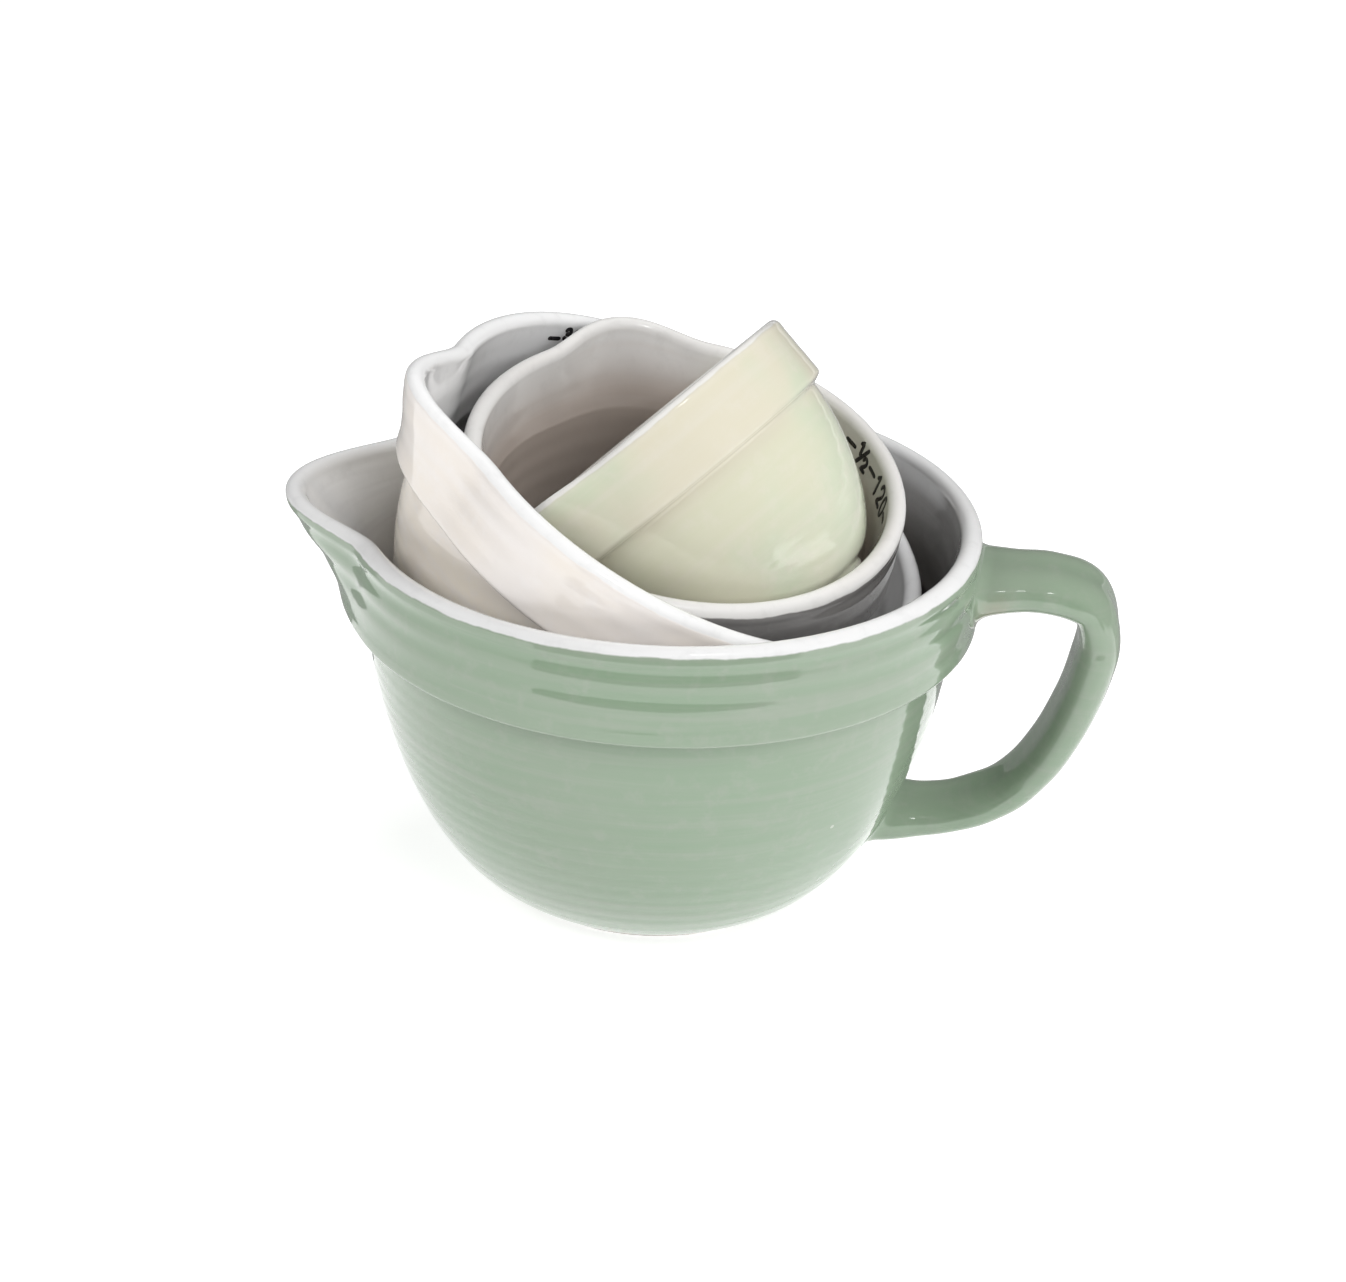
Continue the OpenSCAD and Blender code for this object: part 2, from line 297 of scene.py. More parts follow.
def finished(name, mesh, place):
    """An object from a mesh; its cup's own coordinates stay with it for the textures."""
    own = np.empty(len(mesh.vertices) * 3, np.float32)
    mesh.vertices.foreach_get("co", own)
    layer = mesh.attributes.new("cup_xyz", "FLOAT_VECTOR", "POINT")
    layer.data.foreach_set("vector", own)
    mesh.transform(place)
    mesh.polygons.foreach_set("use_smooth", np.ones(len(mesh.polygons), bool))
    mesh.update()
    obj = bpy.data.objects.new(name, mesh)
    bpy.context.scene.collection.objects.link(obj)
    return obj


def nested(c):
    """Matrix, in metres, that puts a cup standing at the origin in its nested place."""
    toward = math.radians(c["toward"])
    axis = Vector((-math.sin(toward), math.cos(toward), 0))
    turn = Matrix.Rotation(math.radians(c["lean"]), 4, axis)
    spin = Matrix.Rotation(math.radians(c["spin"]), 4, "Z")
    return Matrix.Translation(Vector(c["position"]) * MM) @ turn @ spin


def build_bowl(name, c):
    rows = profile(c)
    angle = np.arange(c["sides"]) / c["sides"] * TURN
    rings, edge, ridge, foot = [], [], [], []
    boundary = c["height"] - c["white_down"]
    run = 0.0
    top = crease_z(c)
    previous = None
    lengths = []
    for r, z, skin in rows:
        if previous is not None:
            run += math.hypot(r - previous[0], z - previous[1])
        previous = (r, z)
        lengths.append(run)
    # Arc length at which the outside reaches the colour boundary.
    crossing = next(
        s for s, (r, z, skin) in zip(lengths, rows) if skin == 1 and z >= boundary
    )
    for s, (r, z, skin) in zip(lengths, rows):
        x, y, zz = surface_point(c, r, np.full_like(angle, z), angle, skin)
        rings.append(np.stack([x, y, zz], 1))
        edge.append(np.full_like(angle, crossing - s))
        if skin == 0 and z > 3:
            wave = outer_rings(c, np.full_like(angle, z), angle) / max(c["ring_depth"], 1e-6)
            near_edge = math.exp(-(((z - top - 0.6) / 0.7) ** 2)) if r > 0.94 * c["rim"] else 0
            ridge.append(np.clip(0.35 + 0.5 * wave + near_edge, 0, 1))
        else:
            ridge.append(np.full_like(angle, 0.0))
        foot.append(np.full_like(angle, 1.0 if skin == 0 and z < 0.9 else 0.0))
    floor = FLOOR_SHARE * c["wall"]
    values = {
        "glaze_edge": np.concatenate([[crossing]] + edge + [[crossing - run]]),
        "ridge": np.concatenate([[0]] + ridge + [[0]]),
        "bare_foot": np.concatenate([[1]] + foot + [[0]]),
    }
    return closed_skin(name, rings, (0, 0, 0), (0, 0, floor), values, nested(c))


# ---------------------------------------------------------------- the strap handle

STRAP_LINE = np.array(
    [
        [53.8, 61.8], [61, 62.5], [68.5, 62.6], [75.2, 60.4], [77.6, 54.2], [76.9, 47.3],
        [74.6, 38.5], [70.4, 28.8], [64.5, 21.2], [56.4, 16.7], [48, 14.8], [39.1, 14.2],
    ]
)
STRAP_W, STRAP_T, STRAP_FLARE, STRAP_TAPER, ROOT_SLANT = 18.0, 7.8, 0.22, 0.18, -38.0
# The strap starts to taper at this share of its length, over this much of it.
TAPER_START, TAPER_LENGTH = 0.45, 0.3
# Radius of the fillet into the bowl, and how much of it the clay takes up.
FILLET, FILLET_SHARE = 2.4, 0.8
# The lower root's fillet begins a little further out than the upper one's.
LOWER_GAP_SHARE = 0.86
# Stations on the strap line between which the rings are closest together.
UPPER_END, LOWER_START = 1.2, 9


def strap_point(u):
    k = min(int(u), len(STRAP_LINE) - 2)
    f = u - k
    p0, p1 = STRAP_LINE[max(0, k - 1)], STRAP_LINE[k]
    p2, p3 = STRAP_LINE[k + 1], STRAP_LINE[min(len(STRAP_LINE) - 1, k + 2)]
    return 0.5 * (
        2 * p1 + (p2 - p0) * f + (2 * p0 - 5 * p1 + 4 * p2 - p3) * f**2
        + (3 * p1 - p0 - 3 * p2 + p3) * f**3
    )


def outer_r_at(c, z):
    return np.where(z < crease_z(c), body_r(c, z), collar_r(c, z))


def build_handle(name, c):
    spans = len(STRAP_LINE) - 1
    stations = np.concatenate([
        np.linspace(0, UPPER_END, 40),
        np.linspace(UPPER_END, LOWER_START, 110)[1:],
        np.linspace(LOWER_START, spans, 60)[1:],
    ])
    sides = 72
    a = np.arange(sides) / sides * TURN
    t_share = np.sign(np.cos(a)) * np.abs(np.cos(a)) ** 0.8
    w_share = np.sign(np.sin(a)) * np.abs(np.sin(a)) ** 0.8
    rings, ridge = [], []
    for u in stations:
        p = strap_point(u)
        d = strap_point(min(spans, u + 0.25)) - strap_point(max(0, u - 0.25))
        from_top, from_bottom = u * 3, (spans - u) * 3
        near_top = math.exp(-((from_top / 2) ** 2))
        near_bottom = math.exp(-((from_bottom / 2.5) ** 2))
        lean = math.atan2(d[1], d[0]) + math.pi / 2 + math.radians(ROOT_SLANT) * near_bottom
        taper = 1 - STRAP_TAPER * min(1.0, max(0.0, (u / spans - TAPER_START) / TAPER_LENGTH))
        half_t = taper * STRAP_T / 2 * (1 + 0.5 * near_bottom + 0.25 * near_top)
        half_w = taper * STRAP_W / 2 * (1 + STRAP_FLARE * (near_top + near_bottom))
        half_w += 0.12 * math.sin(3.1 * u) + 0.08 * math.sin(7.3 * u + 1)
        # A shallow thumb groove along the outer face, as a pulled strap has.
        groove = 0.42 * np.exp(-((w_share / 0.42) ** 2)) * (1 - near_top) * (1 - near_bottom)
        outward = np.where(t_share > 0, groove, 0.35 * groove)
        t = half_t * t_share - np.sign(t_share) * outward
        w = half_w * w_share
        x = p[0] + t * math.cos(lean)
        z = p[1] + t * math.sin(lean)
        # The clay is smoothed into the bowl with a round fillet.
        gap = (np.hypot(x, w) - outer_r_at(c, z)) * (LOWER_GAP_SHARE if u > spans / 2 else 1.0)
        rest = np.clip(FILLET - np.clip(gap, 0, None), 0, FILLET)
        swell = FILLET - np.sqrt(np.maximum(FILLET**2 - rest**2, 0))
        swell = np.where(gap < 0.0, FILLET, swell) * FILLET_SHARE
        reach = np.hypot(t, w)
        t, w = t * (1 + swell / reach), w * (1 + swell / reach)
        rings.append(np.stack([p[0] + t * math.cos(lean), w, p[1] + t * math.sin(lean)], 1))
        corner = np.abs(t_share * w_share) * 2
        ridge.append(np.clip(corner, 0, 1))
    first, last = strap_point(0), strap_point(spans)
    zero = np.zeros(sides * len(rings) + 2)
    values = {
        "glaze_edge": zero + 50,
        "ridge": np.concatenate([[0]] + ridge + [[0]]),
        "bare_foot": zero,
    }
    ends = (first[0], 0, first[1]), (last[0], 0, last[1])
    return closed_skin(name, rings, *ends, values, nested(c))


# ---------------------------------------------------------------- printed fill marks


def arc(cx, cy, rx, ry, start, stop, steps=10):
    out = []
    for k in range(steps + 1):
        a = math.radians(start + (stop - start) * k / steps)
        out.append((cx + rx * math.cos(a), cy + ry * math.sin(a)))
    return out


GLYPHS = {
    "-": [[(0.0, 0.5), (0.62, 0.5)]],
    "/": [[(0.0, 0.0), (0.6, 1.0)]],
    "0": [arc(0.3, 0.5, 0.28, 0.5, 90, 450, 26)],
    "1": [[(0.1, 0.78), (0.22, 0.86), (0.33, 1.0), (0.33, 0.0)]],
    "2": [
        arc(0.29, 0.72, 0.27, 0.28, 170, -20, 14)
        + [(0.47, 0.48), (0.25, 0.24), (0.03, 0.0), (0.6, 0.0)]
    ],
    "3": [
        arc(0.28, 0.74, 0.26, 0.26, 150, -70, 12) + [(0.22, 0.5)],
        [(0.22, 0.52)] + arc(0.28, 0.27, 0.3, 0.27, 80, -150, 13),
    ],
    "4": [[(0.46, 0.0), (0.46, 1.0), (0.02, 0.28), (0.62, 0.28)]],
    "6": [
        arc(0.34, 0.52, 0.32, 0.48, 60, 190, 10)
        + arc(0.31, 0.29, 0.29, 0.29, 190, 520, 22)
    ],
    "8": [
        arc(0.3, 0.75, 0.24, 0.25, 270, 630, 20),
        arc(0.3, 0.26, 0.29, 0.26, 90, 450, 22),
    ],
}


def mark_strokes(top, bottom, amount, height):
    """Polylines of a mark such as - 1/2 - 120 -, in mm, centred on zero."""
    lines, x = [], 0.0

    def put(glyph, size, rise, step):
        nonlocal x
        for line in GLYPHS[glyph]:
            lines.append([(x + px * size, rise + py * size) for px, py in line])
        x += step

    put("-", height * 1.05, -0.02 * height, 1.0 * height)
    if bottom:
        small = 0.62 * height
        put(top, small, 0.48 * height, 0.12 * height)
        for line in GLYPHS["/"]:
            lines.append([(x + px * height, py * height) for px, py in line])
        x += 0.5 * height
        put(bottom, small, -0.02 * height, 0.7 * height)
    else:
        put(top, height, 0.0, 0.85 * height)
    put("-", height * 1.05, -0.02 * height, 1.0 * height)
    for figure in amount:
        put(figure, height * 0.94, 0.03 * height, 0.82 * height)
    put("-", height * 1.05, -0.02 * height, 0.66 * height)
    centre = x / 2
    return [[(px - centre, py - height / 2) for px, py in line] for line in lines]


def resample(line, step):
    points = [np.array(line[0], float)]
    for a, b in zip(line[:-1], line[1:]):
        a, b = np.array(a, float), np.array(b, float)
        n = max(1, int(math.ceil(np.linalg.norm(b - a) / step)))
        points += [a + (b - a) * k / n for k in range(1, n + 1)]
    return points


STROKE = 0.84
# A stroke's rounded end: (place along the stroke, width), both in stroke widths.
STROKE_END = [(-0.5, 0.35), (-0.38, 0.72), (0, 1)]


def build_mark(name, c, top, bottom, amount, mark_z, height, centre):
    """Raised rounded strokes of ink that follow the inside of the bowl."""
    verts, faces = [], []
    around = 8

    def on_wall(px, py, proud):
        z = mark_z + py
        r0 = float(inner_wall_r(c, mark_z))
        angle = np.array([math.radians(centre) - px / r0])
        r = float(inner_wall_r(c, z)) - proud
        x, y, zz = surface_point(c, r, np.array([z]), angle, 2)
        return np.array([x[0], y[0], zz[0]])

    for line in mark_strokes(top, bottom, amount, height):
        pts = resample(line, 0.22)
        n = len(pts)
        base = len(verts)
        count = 0
        for i, p in enumerate(pts):
            before, after = pts[max(0, i - 1)], pts[min(n - 1, i + 1)]
            d = (after - before) / max(1e-9, np.linalg.norm(after - before))
            side = np.array([-d[1], d[0]])
            if i == 0:
                cuts = STROKE_END
            elif i == n - 1:
                cuts = [(-shift, width) for shift, width in reversed(STROKE_END)]
            else:
                cuts = [(0, 1)]
            for shift, width in cuts:
                q = p + d * shift * STROKE
                for k in range(around):
                    a = TURN * k / around
                    lateral = math.cos(a) * STROKE / 2 * width
                    proud = 0.02 + 0.085 * math.sin(a) * (0.6 + 0.4 * width)
                    s = q + side * lateral
                    verts.append(on_wall(s[0], s[1], proud))
                count += 1
        for j in range(count - 1):
            for k in range(around):
                a0 = base + j * around + k
                a1 = base + j * around + (k + 1) % around
                faces.append((a0, a1, a1 + around, a0 + around))
        faces.append(tuple(base + k for k in reversed(range(around))))
        end = base + (count - 1) * around
        faces.append(tuple(end + k for k in range(around)))
    mesh = bpy.data.meshes.new(name)
    mesh.from_pydata([tuple(v * MM) for v in verts], [], faces)
    return finished(name, mesh, nested(c))


# ---------------------------------------------------------------- materials


class Nodes:
    """Short helpers for one material's node tree."""

    def __init__(self, name, own="cup_xyz"):
        self.material = bpy.data.materials.new(name)
        self.material.use_nodes = True
        self.tree = self.material.node_tree
        self.tree.nodes.clear()
        if own:
            place = self.tree.nodes.new("ShaderNodeAttribute")
            place.attribute_name = own
            self.place = place.outputs["Vector"]
        else:
            self.place = self.tree.nodes.new("ShaderNodeTexCoord").outputs["Object"]

    def add(self, kind):
        return self.tree.nodes.new(kind)

    def set(self, node, key, value):
        socket = node.inputs[key]
        if isinstance(value, bpy.types.NodeSocket):
            self.tree.links.new(value, socket)
        else:
            socket.default_value = value

    def attribute(self, name):
        node = self.tree.nodes.new("ShaderNodeAttribute")
        node.attribute_name = name
        return node.outputs["Fac"]

    def stretch(self, scale):
        node = self.tree.nodes.new("ShaderNodeMapping")
        node.inputs["Scale"].default_value = scale
        self.tree.links.new(self.place, node.inputs["Vector"])
        return node.outputs["Vector"]

    def noise(self, scale, detail=3.0, roughness=0.55, vector=None):
        node = self.tree.nodes.new("ShaderNodeTexNoise")
        node.inputs["Scale"].default_value = scale
        node.inputs["Detail"].default_value = detail
        node.inputs["Roughness"].default_value = roughness
        self.tree.links.new(vector or self.place, node.inputs["Vector"])
        return node.outputs["Fac"]

    def math(self, operation, a, b=0.0, clamp=False):
        node = self.tree.nodes.new("ShaderNodeMath")
        node.operation = operation
        node.use_clamp = clamp
        for k, value in enumerate((a, b)):
            if isinstance(value, bpy.types.NodeSocket):
                self.tree.links.new(value, node.inputs[k])
            else:
                node.inputs[k].default_value = value
        return node.outputs[0]

    def ramp(self, value, low, high, out_low=0.0, out_high=1.0):
        node = self.tree.nodes.new("ShaderNodeMapRange")
        node.interpolation_type = "SMOOTHSTEP"
        self.tree.links.new(value, node.inputs["Value"])
        for key, number in (
            ("From Min", low), ("From Max", high), ("To Min", out_low), ("To Max", out_high),
        ):
            node.inputs[key].default_value = number
        return node.outputs["Result"]

    def mix(self, factor, a, b):
        node = self.tree.nodes.new("ShaderNodeMix")
        node.data_type = "RGBA"
        for socket, value in ((node.inputs[0], factor), (node.inputs[6], a), (node.inputs[7], b)):
            if isinstance(value, bpy.types.NodeSocket):
                self.tree.links.new(value, socket)
            elif isinstance(value, (int, float)):
                socket.default_value = value
            else:
                socket.default_value = (*value, 1.0)
        return node.outputs[2]

    def specks(self, scale, share, radius):
        """1 on sparse dots of that radius (in cells), 0 elsewhere."""
        node = self.tree.nodes.new("ShaderNodeTexVoronoi")
        node.inputs["Scale"].default_value = scale
        self.tree.links.new(self.place, node.inputs["Vector"])
        split = self.tree.nodes.new("ShaderNodeSeparateColor")
        self.tree.links.new(node.outputs["Color"], split.inputs[0])
        chosen = self.math("GREATER_THAN", split.outputs[0], 1 - share)
        size = self.math("MULTIPLY", split.outputs[1], radius)
        inside = self.math("LESS_THAN", node.outputs["Distance"], size)
        return self.math("MULTIPLY", chosen, inside)

    def bump(self, height, distance, strength=1.0, normal=None):
        node = self.tree.nodes.new("ShaderNodeBump")
        node.inputs["Distance"].default_value = distance
        node.inputs["Strength"].default_value = strength
        self.tree.links.new(height, node.inputs["Height"])
        if normal:
            self.tree.links.new(normal, node.inputs["Normal"])
        return node.outputs["Normal"]


def glaze(
    name, outside, thin, deep, pale, inside, inside_shade, clay,
    streak=0.5, speck=0.25, cloud_low=0.34, cloud_high=0.68, spot=None, body=None,
):
    """Stoneware: a coloured glaze outside, a white one inside and over the lip."""
    n = Nodes(name)
    edge = n.attribute("glaze_edge")
    ridge = n.attribute("ridge")
    bare = n.attribute("bare_foot")
    height = n.tree.nodes.new("ShaderNodeSeparateXYZ")
    n.tree.links.new(n.place, height.inputs[0])
    z = height.outputs["Z"]

    # Colour of the outside: broad clouds, horizontal streaks, thin glaze on ridges.
    cloud = n.noise(26, 3, 0.6)
    streaks = n.noise(1.0, 4, 0.65, vector=n.stretch((16, 16, 420)))
    fine = n.noise(1.0, 3, 0.6, vector=n.stretch((70, 70, 1100)))
    main = outside
    if body:
        # The body's own tint, below the height where the collar ends; on the three-quarter cup its
        # extra lightness is painted light.
        body_top, tint = body
        main = n.mix(n.ramp(z, body_top + 0.001, body_top - 0.005), outside, tint)
    colour = n.mix(n.ramp(cloud, cloud_low, cloud_high), main, deep)
    colour = n.mix(n.math("MULTIPLY", n.ramp(streaks, 0.45, 0.72), streak), colour, thin)
    colour = n.mix(n.math("MULTIPLY", n.ramp(fine, 0.5, 0.8), 0.3 * streak), colour, thin)
    colour = n.mix(n.math("MULTIPLY", ridge, 0.22), colour, thin)
    spots = n.ramp(n.noise(260, 3, 0.65), 0.5, 0.72, 0.0, 0.4)
    colour = n.mix(spots, colour, thin)
    if spot:
        # Clay that shows through a thin spot of glaze.
        centre, radius, tint = spot
        offset = n.add("ShaderNodeVectorMath")
        offset.operation = "DISTANCE"
        n.tree.links.new(n.place, offset.inputs[0])
        offset.inputs[1].default_value = centre
        ragged = n.math(
            "ADD", offset.outputs["Value"], n.math("MULTIPLY", n.noise(380, 3), 0.006)
        )
        colour = n.mix(
            n.math("MULTIPLY", n.ramp(ragged, radius + 0.003, 0.003), 0.4), colour, tint
        )
    # The glaze thins to the clay's paleness just above the foot.
    low = n.math("ADD", z, n.math("MULTIPLY", n.noise(60, 2), 0.004))
    near_foot = n.ramp(low, 0.0085, 0.002)
    colour = n.mix(n.math("MULTIPLY", near_foot, 0.6), colour, pale)

    # Colour of the inside: painted shade, darker with depth below the lip, with faint rings.
    rings = n.noise(1.0, 3, 0.6, vector=n.stretch((14, 14, 260)))
    ringed = n.math("MULTIPLY", n.ramp(rings, 0.4, 0.75), 0.2)
    painted_depth_shade = n.math("ADD", n.ramp(edge, -4, -18), ringed, clamp=True)
    mottle = n.ramp(n.noise(330, 3, 0.6), 0.5, 0.75, 0.0, 0.5)
    white = n.mix(mottle, inside, tuple(0.88 * v for v in inside))
    white = n.mix(painted_depth_shade, white, inside_shade)

    # The colour's uneven edge along the lip, with a paler seam where the two meet.
    wander = n.math("MULTIPLY", n.math("SUBTRACT", n.noise(150, 3, 0.6), 0.5), 0.9)
    slow = n.math("MULTIPLY", n.math("SUBTRACT", n.noise(24, 2, 0.5), 0.5), 0.9)
    line = n.math("ADD", n.math("ADD", edge, wander), slow)
    out_share = n.ramp(line, -0.1, 0.28)
    seam = n.math("MULTIPLY", n.ramp(line, 1.5, 0.1), 0.5)
    colour = n.mix(seam, colour, thin)
    both = n.mix(out_share, white, colour)

    # Iron specks and pin holes.
    dark = n.specks(85, 0.32, 0.055)
    light = n.specks(118, 0.3, 0.05)
    both = n.mix(n.math("MULTIPLY", dark, speck), both, (0.16, 0.13, 0.10))
    both = n.mix(n.math("MULTIPLY", light, speck), both, (0.9, 0.88, 0.84))
    # The unglazed clay of the foot.
    grit = n.noise(900, 3, 0.7)
    clay_colour = n.mix(n.ramp(grit, 0.35, 0.75), clay, tuple(0.72 * v for v in clay))
    both = n.mix(bare, both, clay_colour)

    # Roughness: a clean gloss with duller clouds, dry on the bare foot.
    gloss = n.ramp(n.noise(45, 4, 0.6), 0.3, 0.75, 0.05, 0.10)
    worn = n.math("MULTIPLY", n.ramp(n.noise(240, 3, 0.6), 0.58, 0.72), 0.06)
    rough = n.math("ADD", n.math("ADD", gloss, worn), n.math("MULTIPLY", bare, 0.6), clamp=True)

    # Relief: the glaze's orange peel, slow ripples, pin holes, and grit on the foot.
    peel = n.bump(n.noise(520, 2, 0.5), 0.00002, 0.55)
    ripple = n.bump(n.noise(70, 2, 0.5), 0.00016, 0.5, peel)
    pits = n.bump(n.math("ADD", dark, light), -0.00006, 0.6, ripple)
    step = n.bump(out_share, 0.00006, 0.9, pits)
    sand = n.bump(n.math("MULTIPLY", grit, bare), 0.0001, 0.8, step)

    shader = n.add("ShaderNodeBsdfPrincipled")
    n.set(shader, "Base Color", both)
    n.set(shader, "Roughness", rough)
    n.set(shader, "Normal", sand)
    shader.inputs["IOR"].default_value = 1.52
    shader.inputs["Coat Weight"].default_value = 0.45
    shader.inputs["Coat Roughness"].default_value = 0.035
    shader.inputs["Coat IOR"].default_value = 1.5
    out = n.add("ShaderNodeOutputMaterial")
    n.tree.links.new(shader.outputs[0], out.inputs["Surface"])
    return n.material


def ink():
    """Fired black print, slightly uneven, under the gloss of the glaze."""
    n = Nodes("fired_ink")
    wear = n.noise(700, 3, 0.65)
    colour = n.mix(n.ramp(wear, 0.45, 0.8), (0.012, 0.012, 0.014), (0.07, 0.065, 0.06))
    rough = n.ramp(n.noise(300, 2), 0.3, 0.7, 0.2, 0.42)
    shader = n.add("ShaderNodeBsdfPrincipled")
    n.set(shader, "Base Color", colour)
    n.set(shader, "Roughness", rough)
    n.set(shader, "Normal", n.bump(wear, 0.00002, 0.5))
    out = n.add("ShaderNodeOutputMaterial")
    n.tree.links.new(shader.outputs[0], out.inputs["Surface"])
    return n.material


def plain(name, colour, glow=0.0):
    """A barely uneven pale sheet, which can glow like a light table."""
    n = Nodes(name, own=None)
    shade = n.mix(n.ramp(n.noise(3, 2), 0.3, 0.7), colour, tuple(0.985 * v for v in colour))
    shader = n.add("ShaderNodeBsdfPrincipled")
    n.set(shader, "Base Color", shade)
    n.set(shader, "Roughness", n.ramp(n.noise(20, 2), 0.3, 0.7, 0.6, 0.65))
    shader.inputs["Specular IOR Level"].default_value = 0.2
    shader.inputs["Emission Color"].default_value = (1.0, 1.0, 1.0, 1.0)
    shader.inputs["Emission Strength"].default_value = glow
    out = n.add("ShaderNodeOutputMaterial")
    n.tree.links.new(shader.outputs[0], out.inputs["Surface"])
    return n.material


# Each inside_shade is the painted shade of a bowl's deep inside; the half cup's is warmer, a
# painted bounce from the quarter cup.
LOOKS = {
    "one_cup": glaze(
        "sage_glaze", outside=(0.232, 0.305, 0.219), thin=(0.285, 0.325, 0.265),
        deep=(0.215, 0.300, 0.205), pale=(0.385, 0.375, 0.35), inside=(0.75, 0.75, 0.75),
        inside_shade=(0.34, 0.33, 0.32), clay=(0.70, 0.68, 0.64),
        spot=((0.0585, -0.0095, 0.0595), 0.006, (0.33, 0.26, 0.21)),
    ),
    "three_quarter_cup": glaze(
        "cream_glaze", outside=(0.745, 0.705, 0.675), thin=(0.78, 0.75, 0.73),
        # A yellower body, made lighter than the darker collar as painted light.
        body=(crease_z(CUPS["three_quarter_cup"]) * MM, (0.83, 0.77, 0.655)),
        deep=(0.77, 0.71, 0.64), pale=(0.76, 0.74, 0.71), inside=(0.80, 0.80, 0.80),
        inside_shade=(0.68, 0.675, 0.67), clay=(0.72, 0.69, 0.64), streak=0.3, speck=0.3,
    ),
    "half_cup": glaze(
        "grey_glaze", outside=(0.165, 0.160, 0.156), thin=(0.22, 0.213, 0.207),
        deep=(0.14, 0.136, 0.133), pale=(0.4, 0.39, 0.37), inside=(0.71, 0.70, 0.685),
        inside_shade=(0.54, 0.47, 0.42), clay=(0.70, 0.68, 0.64), streak=0.3, speck=0.3,
    ),
    "quarter_cup": glaze(
        "pale_green_glaze", outside=(0.625, 0.59, 0.47), thin=(0.65, 0.62, 0.535),
        body=(crease_z(CUPS["quarter_cup"]) * MM, (0.595, 0.595, 0.455)),
        deep=(0.55, 0.60, 0.455), pale=(0.72, 0.71, 0.62), inside=(0.76, 0.75, 0.72),
        inside_shade=(0.5, 0.47, 0.44), clay=(0.70, 0.68, 0.62), streak=0.35, speck=0.6,
        cloud_low=0.42, cloud_high=0.6,
    ),
}
MARKS = {
    "one_cup": dict(top="1", bottom="", amount="240", mark_z=56.0, height=3.4, centre=90),
    "three_quarter_cup": dict(
        top="3", bottom="4", amount="180", mark_z=57.1, height=3.4, centre=103,
    ),
    "half_cup": dict(
        top="1", bottom="2", amount="120", mark_z=48.4, height=3.7, centre=85,
    ),
    "quarter_cup": dict(top="1", bottom="4", amount="60", mark_z=39.3, height=3.1, centre=90),
}

# ---------------------------------------------------------------- put together

INK = ink()
for cup, c in CUPS.items():
    bowl = build_bowl(cup + "_bowl_glazed", c)
    bowl.data.materials.append(LOOKS[cup])
    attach(bowl, cup)
    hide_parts(cup + "_bowl")
    mark = build_mark(cup + "_mark_printed", c, **MARKS[cup])
    mark.data.materials.append(INK)
    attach(mark, cup)
    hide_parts(cup + "_fill_mark")

handle = build_handle("one_cup_handle_glazed", CUPS["one_cup"])
handle.data.materials.append(LOOKS["one_cup"])
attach(handle, "one_cup")
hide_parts("one_cup_handle")


# ---------------------------------------------------------------- studio


def sheet(name, centre, width, depth, material, turn=None):
    mesh = bpy.data.meshes.new(name)
    w, d = width / 2, depth / 2
    mesh.from_pydata([(-w, -d, 0), (w, -d, 0), (w, d, 0), (-w, d, 0)], [], [(0, 1, 2, 3)])
    obj = bpy.data.objects.new(name, mesh)
    bpy.context.scene.collection.objects.link(obj)
    obj.location = centre
    if turn is not None:
        obj.rotation_euler = turn
    mesh.materials.append(material)
    obj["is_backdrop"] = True
    return obj


FLOOR_GLOW, SKY_GLOW = 0.64, 0.96
sheet("floor", (0, 0, 0), 12.0, 12.0, plain("floor_white", (0.68, 0.68, 0.68), FLOOR_GLOW))

# Two sheets that only the glaze's gloss sees: the dark room behind the camera, and
# a greyer table behind the cups.
flags = [
    sheet(
        "dark_flag", (0.055, -0.24, 0.15), 0.44, 0.30, plain("flag_grey", (0.03, 0.03, 0.03)),
        turn=(math.radians(90), 0, 0),
    ),
    sheet(
        "grey_flag", (0, 0.86, 0.0006), 3.0, 1.6, plain("table_grey", (0.05, 0.05, 0.05), 0.3)
    ),
]
for flag in flags:
    flag.visible_camera = flag.visible_diffuse = flag.visible_shadow = False

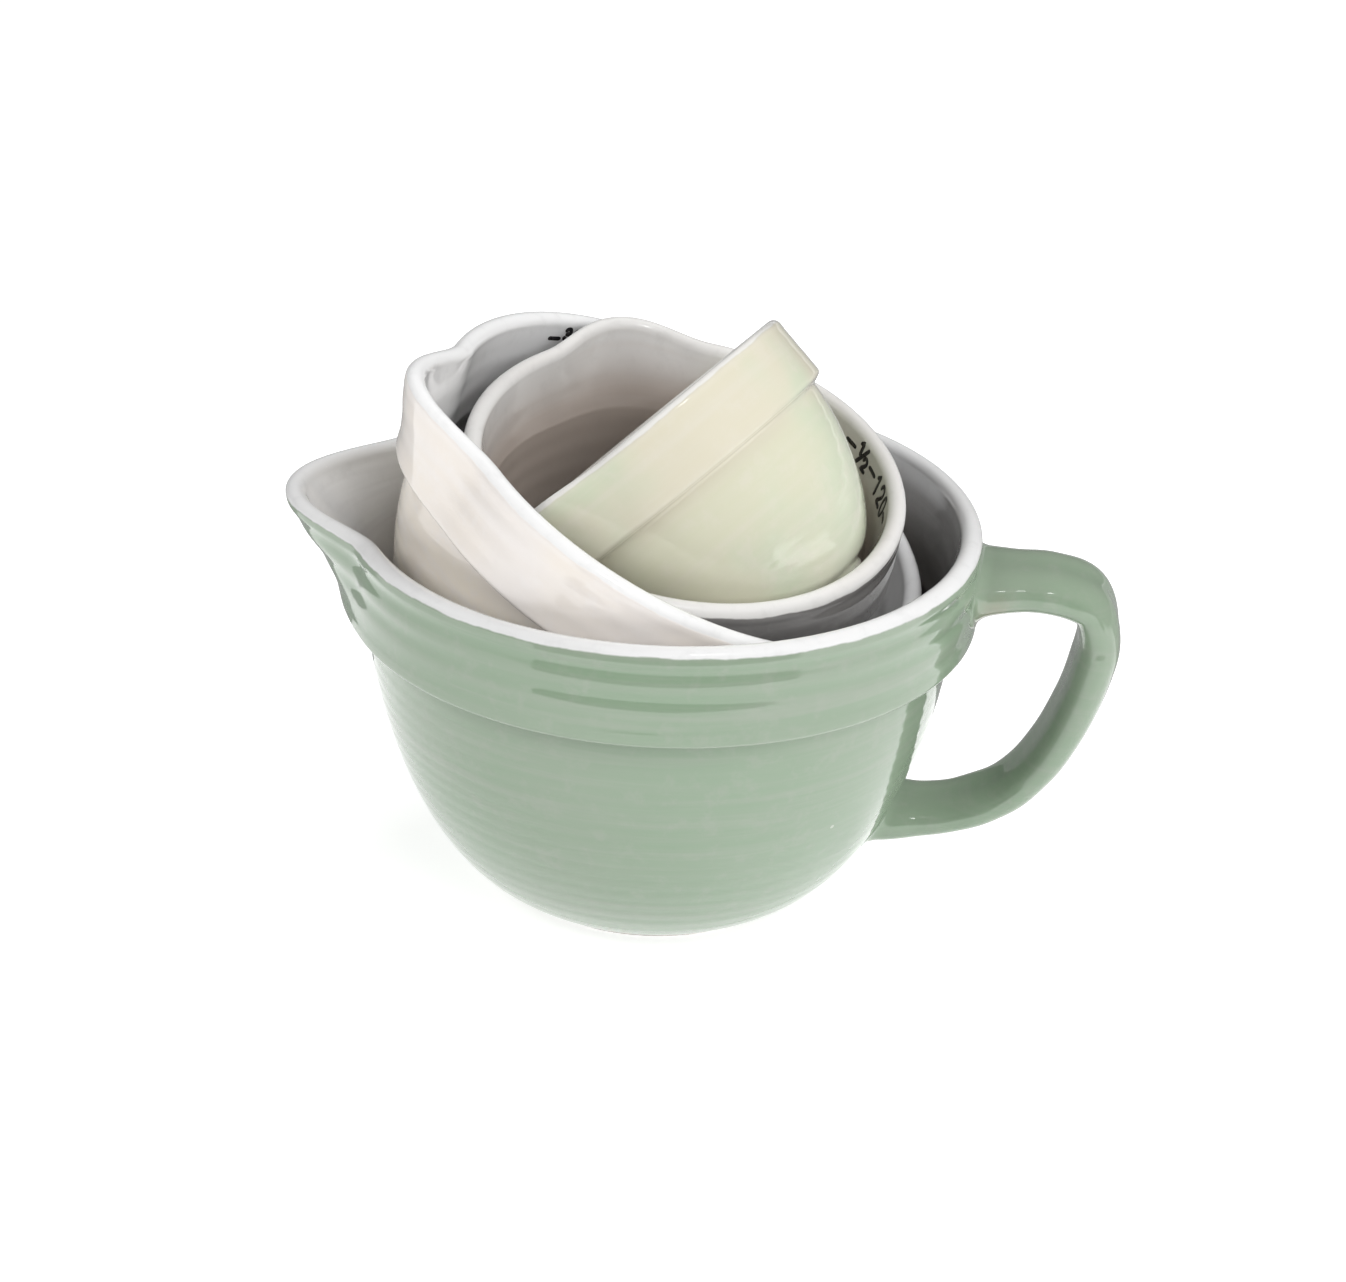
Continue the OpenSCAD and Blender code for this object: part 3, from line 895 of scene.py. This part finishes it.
# A pale backdrop for low views; it throws no light.
bpy.ops.mesh.primitive_uv_sphere_add(segments=64, ring_count=32, radius=5.8)
dome = bpy.context.active_object
dome.name = "backdrop"
dome.data.materials.append(plain("backdrop_white", (0.0, 0.0, 0.0), SKY_GLOW))
dome.visible_diffuse = dome.visible_glossy = dome.visible_shadow = False
dome.visible_transmission = False
dome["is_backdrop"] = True


def softbox(name, azimuth, elevation, distance, width, height, power, shiny=False):
    """A soft rectangular light; azimuth 0 is the front, positive to the right."""
    data = bpy.data.lights.new(name, "AREA")
    data.shape = "RECTANGLE"
    data.size, data.size_y = width, height
    data.energy = power
    obj = bpy.data.objects.new(name, data)
    bpy.context.scene.collection.objects.link(obj)
    a, e = math.radians(azimuth), math.radians(elevation)
    aim = Vector((0, 0, 0.05))
    out = Vector((math.sin(a) * math.cos(e), -math.cos(a) * math.cos(e), math.sin(e)))
    obj.location = aim + out * distance
    obj.rotation_euler = (-out).to_track_quat("-Z", "Y").to_euler()
    obj.visible_camera = False
    obj.visible_glossy = shiny
    return obj


softbox("softbox_right", 46, 33, 0.95, 0.75, 0.6, 6.6)
softbox("softbox_left", -60, 36, 0.95, 0.6, 0.5, 4.2)
softbox("softbox_back", 140, 55, 0.95, 0.75, 0.6, 5.5)
softbox("small_lamp", 25, 55, 0.8, 0.12, 0.05, 0.25, shiny=True)

world = bpy.data.worlds.new("studio")
world.use_nodes = True
world.node_tree.nodes["Background"].inputs["Color"].default_value = (1.0, 1.0, 1.0, 1.0)
world.node_tree.nodes["Background"].inputs["Strength"].default_value = 0.15
bpy.context.scene.world = world
bpy.context.scene.view_settings.view_transform = "Standard"

# ---------------------------------------------------------------- camera

PITCH, ROLL, AZIMUTH = math.radians(27.19), math.radians(2.75), math.radians(4.0)
CAMERA_PLACE, LENS = (0.03364, -0.44583, 0.27482), 74.89
forward = Vector((0, math.cos(PITCH), -math.sin(PITCH)))
right = Vector((1, 0, 0))
up = right.cross(forward)
cam_x = right * math.cos(ROLL) + up * math.sin(ROLL)
cam_y = up * math.cos(ROLL) - right * math.sin(ROLL)
turn = Matrix.Rotation(AZIMUTH, 3, "Z")
axes = Matrix((turn @ cam_x, turn @ cam_y, turn @ -forward)).transposed()

camera_data = bpy.data.cameras.new("camera")
camera_data.sensor_width = 36.0
camera_data.lens = LENS
camera = bpy.data.objects.new("camera", camera_data)
bpy.context.scene.collection.objects.link(camera)
camera.matrix_world = Matrix.Translation(CAMERA_PLACE) @ axes.to_4x4()
camera_data.clip_start = 0.01
bpy.context.scene.camera = camera

bpy.context.view_layer.update()


def plain_lists(value):
    if isinstance(value, dict):
        return {key: plain_lists(item) for key, item in value.items()}
    if hasattr(value, "__len__") and not isinstance(value, str):
        return [plain_lists(item) for item in value]
    return float(value) if isinstance(value, (float, np.floating)) else value


{"cad": plain_lists(cad_box), "visual": plain_lists(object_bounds())}
